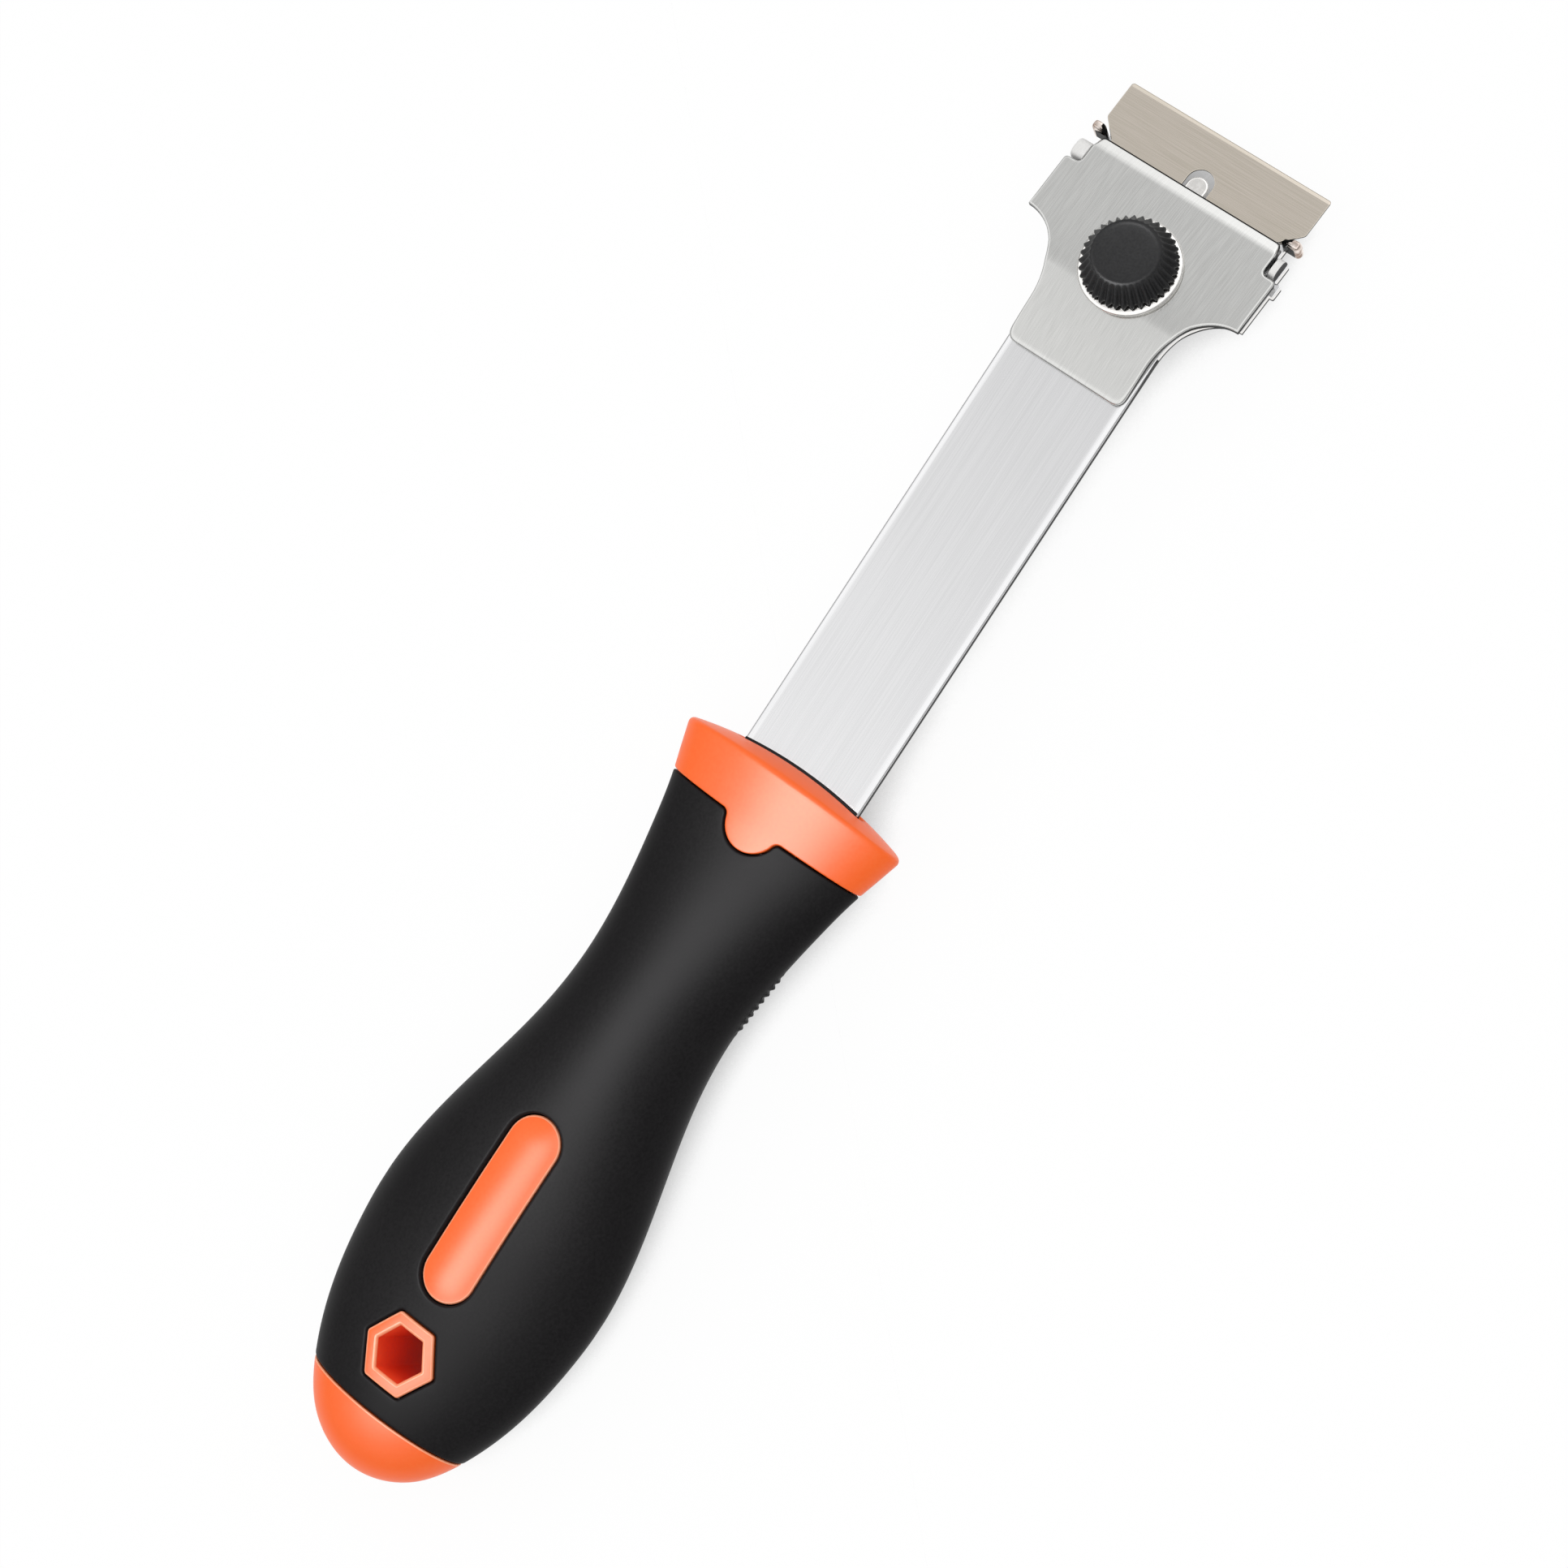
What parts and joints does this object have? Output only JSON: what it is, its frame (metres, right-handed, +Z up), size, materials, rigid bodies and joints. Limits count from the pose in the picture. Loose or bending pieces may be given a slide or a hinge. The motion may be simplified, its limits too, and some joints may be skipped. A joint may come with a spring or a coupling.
{
  "type": "glue scraper",
  "caption": "Hand scraper with an oval two-colour grip, a flat steel bar and a bent T-shaped head whose cover clamps a razor blade by a fluted knob.",
  "frame": {"origin": "under the middle of the tool, on the plane that the back of its grip touches", "axes": "+X along the bar towards the blade, +Y to the tool's left, +Z up out of the knob side; the tool lies on its back"},
  "size_m": [0.2562, 0.0448, 0.0242],
  "materials": {
    "shank_steel": "satin stainless, brushed along the bar",
    "cover_steel": "stainless, brushed along the bar",
    "blade_steel": "warm grey blade steel, ground along the edge",
    "washer_steel": "bright plated",
    "knob_plastic": "moulded, satin",
    "screw_steel": "plated",
    "nut_steel": "plated",
    "core_plastic": "orange moulded, satin",
    "grip_rubber": "black soft grip, matte"
  },
  "bodies": {
    "holder": {"shank": "shank_steel", "back_nut": "nut_steel", "handle_core": "core_plastic", "grip_sleeve": "grip_rubber"},
    "cover": {"clamp_cover": "cover_steel"},
    "washer": {"washer": "washer_steel"},
    "knob": {"knob": "knob_plastic", "clamp_screw": "screw_steel"},
    "blade": {"blade": "blade_steel"}
  },
  "joints": [
    {"name": "washer_lift", "type": "slide", "parent": "holder", "child": "washer", "axis": [0.2147, 0, 0.9767], "range_m": [0, 0.0024]},
    {"name": "knob_turn", "type": "hinge", "parent": "washer", "child": "knob", "pos_m": [0.10183, 0, 0.01118], "axis": [0.2147, 0, 0.9767], "range_deg": [0, 1090]},
    {"name": "cover_lift", "type": "slide", "parent": "holder", "child": "cover", "axis": [0.2147, 0, 0.9767], "range_m": [0, 0.00242]},
    {"name": "blade_slide", "type": "slide", "parent": "holder", "child": "blade", "axis": [0.9767, 0, -0.2147], "range_m": [0, 0.02]}
  ],
  "couplings": [
    {"joint": "knob_turn", "follows": "washer_lift", "rad_per_m": 7854},
    {"joint": "cover_lift", "follows": "washer_lift", "ratio": 1}
  ]
}
